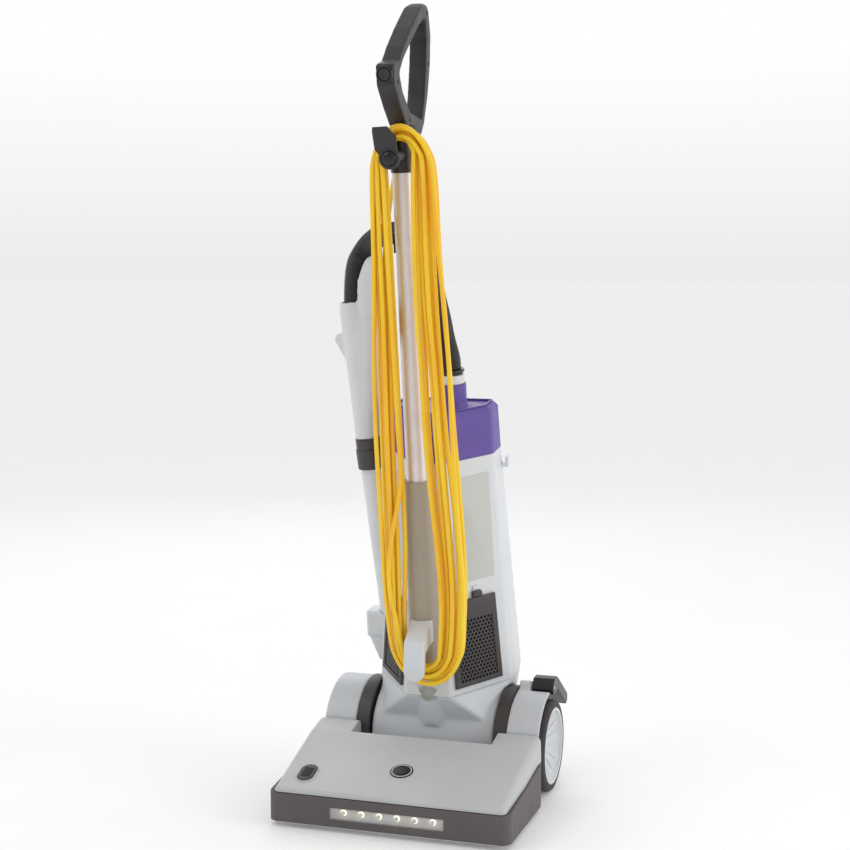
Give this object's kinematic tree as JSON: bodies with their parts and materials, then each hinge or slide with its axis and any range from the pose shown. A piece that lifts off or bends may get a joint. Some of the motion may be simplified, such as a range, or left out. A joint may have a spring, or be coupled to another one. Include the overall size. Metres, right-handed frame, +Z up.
{
  "type": "upright vacuum cleaner",
  "caption": "Upright vacuum cleaner: floor head with brush roll, drum motor housing, bag housing with lid, stored wand and hose, loop handle and wound mains cord.",
  "frame": {"origin": "on the floor under the middle of the machine's overall box", "axes": "+X across the machine from left to right seen from the front, +Y towards the back, +Z up"},
  "size_m": [0.385, 0.4001, 1.2532],
  "materials": {
    "cover_grey": "fine moulded texture, satin",
    "light_grey": "satin moulded plastic",
    "taupe": "satin moulded plastic",
    "dark_grey": "satin moulded plastic",
    "black_plastic": "satin moulded plastic",
    "purple": "semi-gloss moulded plastic",
    "bumper": "soft matte vinyl",
    "tyre": "non-marking rubber",
    "tube_chrome": "polished",
    "steel": "plain steel",
    "aluminium": "cast",
    "bush_brass": "sintered",
    "lens_clear": "clear",
    "board_white": "lamp board",
    "bristle": "nylon",
    "filter_cloth": "pleated filter cloth",
    "hose_black": "corrugated, satin",
    "cord_yellow": "smooth sheath, satin"
  },
  "bodies": {
    "floor_head": {"base_chassis": "dark_grey", "front_bumper": "bumper", "base_cover": "cover_grey", "sole_plate": "steel", "sole_plate_screws": "steel", "headlight_lens": "lens_clear", "headlight_board": "board_white", "badge": "black_plastic", "left_fender": "light_grey", "right_fender": "light_grey", "left_pivot_bracket": "dark_grey", "right_pivot_bracket": "dark_grey", "pivot_bushes": "bush_brass", "wheel_axles": "steel", "brush_motor": "black_plastic", "drive_belt": "tyre", "suction_duct": "black_plastic"},
    "brush_roll": {"brush_core": "dark_grey", "brush_bristles": "bristle"},
    "brush_drive": {"motor_pulley": "steel"},
    "left_wheel": {"left_wheel_hub": "light_grey", "left_wheel_tyre": "tyre"},
    "right_wheel": {"right_wheel_hub": "light_grey", "right_wheel_tyre": "tyre"},
    "left_support_roller": {"left_roller": "dark_grey"},
    "right_support_roller": {"right_roller": "dark_grey"},
    "pedal": {"release_pedal": "black_plastic"},
    "head_button": {"oval_button": "dark_grey"},
    "upright": {"motor_housing": "light_grey", "suction_motor": "aluminium", "body_shell": "light_grey", "column_cover": "taupe", "lower_cord_hook": "light_grey", "left_grille_cover": "dark_grey", "right_grille_cover": "dark_grey", "filter_bag": "filter_cloth", "main_tube": "tube_chrome", "handle_collar": "black_plastic", "handle_left_shell": "dark_grey", "handle_right_shell": "dark_grey", "handle_screws": "steel", "hose_clip": "black_plastic", "wand_socket": "light_grey", "lid_hinge_pin": "steel", "hose_lid_side": "hose_black", "hose_wand_side": "hose_black", "strain_relief": "black_plastic", "cord_lead": "cord_yellow", "cord_hank": "cord_yellow", "mains_plug": "cord_yellow"},
    "fan": {"suction_fan": "aluminium"},
    "lid": {"lid": "purple", "hose_cuff": "light_grey"},
    "latch": {"lid_latch": "black_plastic"},
    "wand": {"wand_tube": "light_grey", "wand_collar": "dark_grey", "wand_handle": "light_grey"},
    "hook": {"cord_hook": "dark_grey"},
    "switch": {"power_button": "dark_grey"}
  },
  "joints": [
    {"name": "upright_recline", "type": "hinge", "parent": "floor_head", "child": "upright", "pos_m": [0, 0.1, 0.085], "axis": [-1, 0, 0], "range_deg": [0, 75]},
    {"name": "left_wheel_spin", "type": "hinge", "parent": "floor_head", "child": "left_wheel", "pos_m": [-0.164, 0.1, 0.075], "axis": [1, 0, 0], "continuous": true},
    {"name": "right_wheel_spin", "type": "hinge", "parent": "floor_head", "child": "right_wheel", "pos_m": [0.164, 0.1, 0.075], "axis": [1, 0, 0], "continuous": true},
    {"name": "left_roller_spin", "type": "hinge", "parent": "floor_head", "child": "left_support_roller", "pos_m": [-0.12, -0.086, 0.012], "axis": [1, 0, 0], "continuous": true},
    {"name": "right_roller_spin", "type": "hinge", "parent": "floor_head", "child": "right_support_roller", "pos_m": [0.12, -0.086, 0.012], "axis": [1, 0, 0], "continuous": true},
    {"name": "brush_spin", "type": "hinge", "parent": "floor_head", "child": "brush_roll", "pos_m": [0, -0.14, 0.034], "axis": [1, 0, 0], "continuous": true},
    {"name": "motor_spin", "type": "hinge", "parent": "floor_head", "child": "brush_drive", "pos_m": [0.165, -0.062, 0.05], "axis": [1, 0, 0], "continuous": true},
    {"name": "fan_spin", "type": "hinge", "parent": "upright", "child": "fan", "pos_m": [0.047, 0.1, 0.085], "axis": [1, 0, 0], "continuous": true},
    {"name": "pedal_press", "type": "hinge", "parent": "floor_head", "child": "pedal", "pos_m": [0.168, 0.108, 0.17], "axis": [-1, 0, 0], "range_deg": [0, 12], "stiffness_Nm_per_rad": 2, "springref_deg": -3.44},
    {"name": "button_press", "type": "slide", "parent": "floor_head", "child": "head_button", "axis": [0, 0.2862, -0.9582], "range_m": [0, 0.0025], "stiffness_N_per_m": 400, "springref_m": -0.002},
    {"name": "switch_press", "type": "slide", "parent": "upright", "child": "switch", "axis": [0, 0.9903, 0.1392], "range_m": [0, 0.003], "stiffness_N_per_m": 400, "springref_m": -0.002},
    {"name": "hook_swivel", "type": "hinge", "parent": "upright", "child": "hook", "pos_m": [0, -0.15216, 1.01698], "axis": [0, 0.9903, 0.1392], "range_deg": [0, 180]},
    {"name": "lid_open", "type": "hinge", "parent": "upright", "child": "lid", "pos_m": [0, 0.14296, 0.5697], "axis": [-1, 0, 0], "range_deg": [0, 80], "deforming": ["hose_lid_side"]},
    {"name": "latch_open", "type": "hinge", "parent": "lid", "child": "latch", "pos_m": [0, -0.00375, 0.57533], "axis": [-1, 0, 0], "range_deg": [0, 20], "stiffness_Nm_per_rad": 0.2, "springref_deg": -2.86},
    {"name": "wand_lift", "type": "slide", "parent": "upright", "child": "wand", "axis": [-0.0872, -0.1386, 0.9865], "range_m": [0, 0.08], "deforming": ["hose_wand_side"]}
  ],
  "couplings": [
    {"joint": "motor_spin", "follows": "brush_spin", "ratio": 1.4444}
  ]
}
